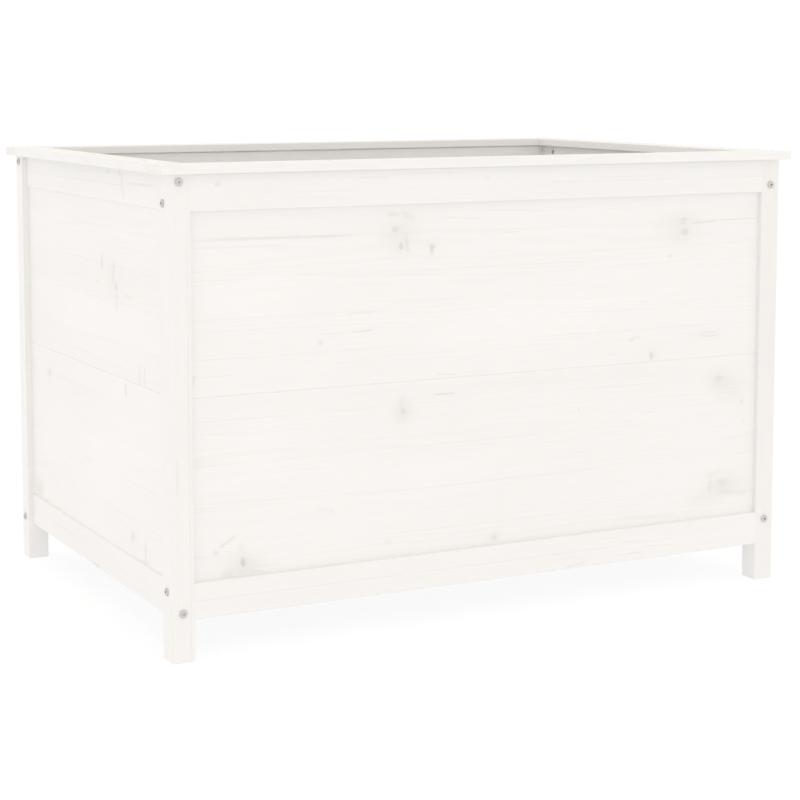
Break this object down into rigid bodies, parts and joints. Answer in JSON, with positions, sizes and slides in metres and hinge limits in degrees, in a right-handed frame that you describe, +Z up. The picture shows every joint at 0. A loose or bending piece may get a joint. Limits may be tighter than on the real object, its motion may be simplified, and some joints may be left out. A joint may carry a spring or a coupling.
{
  "type": "raised garden bed",
  "caption": "Raised rectangular garden bed of white-painted pine on four square legs, with panelled walls, a flat overhanging rim and a slatted floor.",
  "frame": {"origin": "on the ground, under the middle of the bed", "axes": "+X along the long front, to the right seen from the front; +Y to the back; +Z up"},
  "size_m": [1.195, 0.825, 0.78],
  "materials": {
    "white_painted_pine": "matt white paint, grain and knots faintly through it",
    "zinc_plated_steel": "bright zinc plate",
    "beech_dowel": "bare beech"
  },
  "bodies": {
    "root": {"back_bottom_rail": "white_painted_pine", "back_floor_ledger": "white_painted_pine", "back_left_cleat": "white_painted_pine", "back_left_post": "white_painted_pine", "back_lower_board": "white_painted_pine", "back_middle_cleat": "white_painted_pine", "back_right_cleat": "white_painted_pine", "back_right_post": "white_painted_pine", "back_rim_board": "white_painted_pine", "back_top_rail": "white_painted_pine", "back_upper_board": "white_painted_pine", "barrel_nuts": "zinc_plated_steel", "cleat_screws": "zinc_plated_steel", "corner_bolts": "zinc_plated_steel", "floor_bearer_1": "white_painted_pine", "floor_bearer_2": "white_painted_pine", "floor_bearer_3": "white_painted_pine", "floor_bearer_4": "white_painted_pine", "floor_bearer_5": "white_painted_pine", "floor_bearer_screws": "zinc_plated_steel", "floor_ledger_screws": "zinc_plated_steel", "floor_slat_1": "white_painted_pine", "floor_slat_2": "white_painted_pine", "floor_slat_3": "white_painted_pine", "floor_slat_4": "white_painted_pine", "floor_slat_5": "white_painted_pine", "floor_slat_6": "white_painted_pine", "floor_slat_7": "white_painted_pine", "floor_slat_screws": "zinc_plated_steel", "front_bottom_rail": "white_painted_pine", "front_floor_ledger": "white_painted_pine", "front_left_cleat": "white_painted_pine", "front_left_post": "white_painted_pine", "front_lower_board": "white_painted_pine", "front_middle_cleat": "white_painted_pine", "front_right_cleat": "white_painted_pine", "front_right_post": "white_painted_pine", "front_rim_board": "white_painted_pine", "front_top_rail": "white_painted_pine", "front_upper_board": "white_painted_pine", "left_back_cleat": "white_painted_pine", "left_bottom_rail": "white_painted_pine", "left_front_cleat": "white_painted_pine", "left_lower_board": "white_painted_pine", "left_middle_cleat": "white_painted_pine", "left_rim_board": "white_painted_pine", "left_top_rail": "white_painted_pine", "left_upper_board": "white_painted_pine", "rail_dowels": "beech_dowel", "right_back_cleat": "white_painted_pine", "right_bottom_rail": "white_painted_pine", "right_front_cleat": "white_painted_pine", "right_lower_board": "white_painted_pine", "right_middle_cleat": "white_painted_pine", "right_rim_board": "white_painted_pine", "right_top_rail": "white_painted_pine", "right_upper_board": "white_painted_pine", "rim_screws": "zinc_plated_steel"}
  },
  "joints": []
}
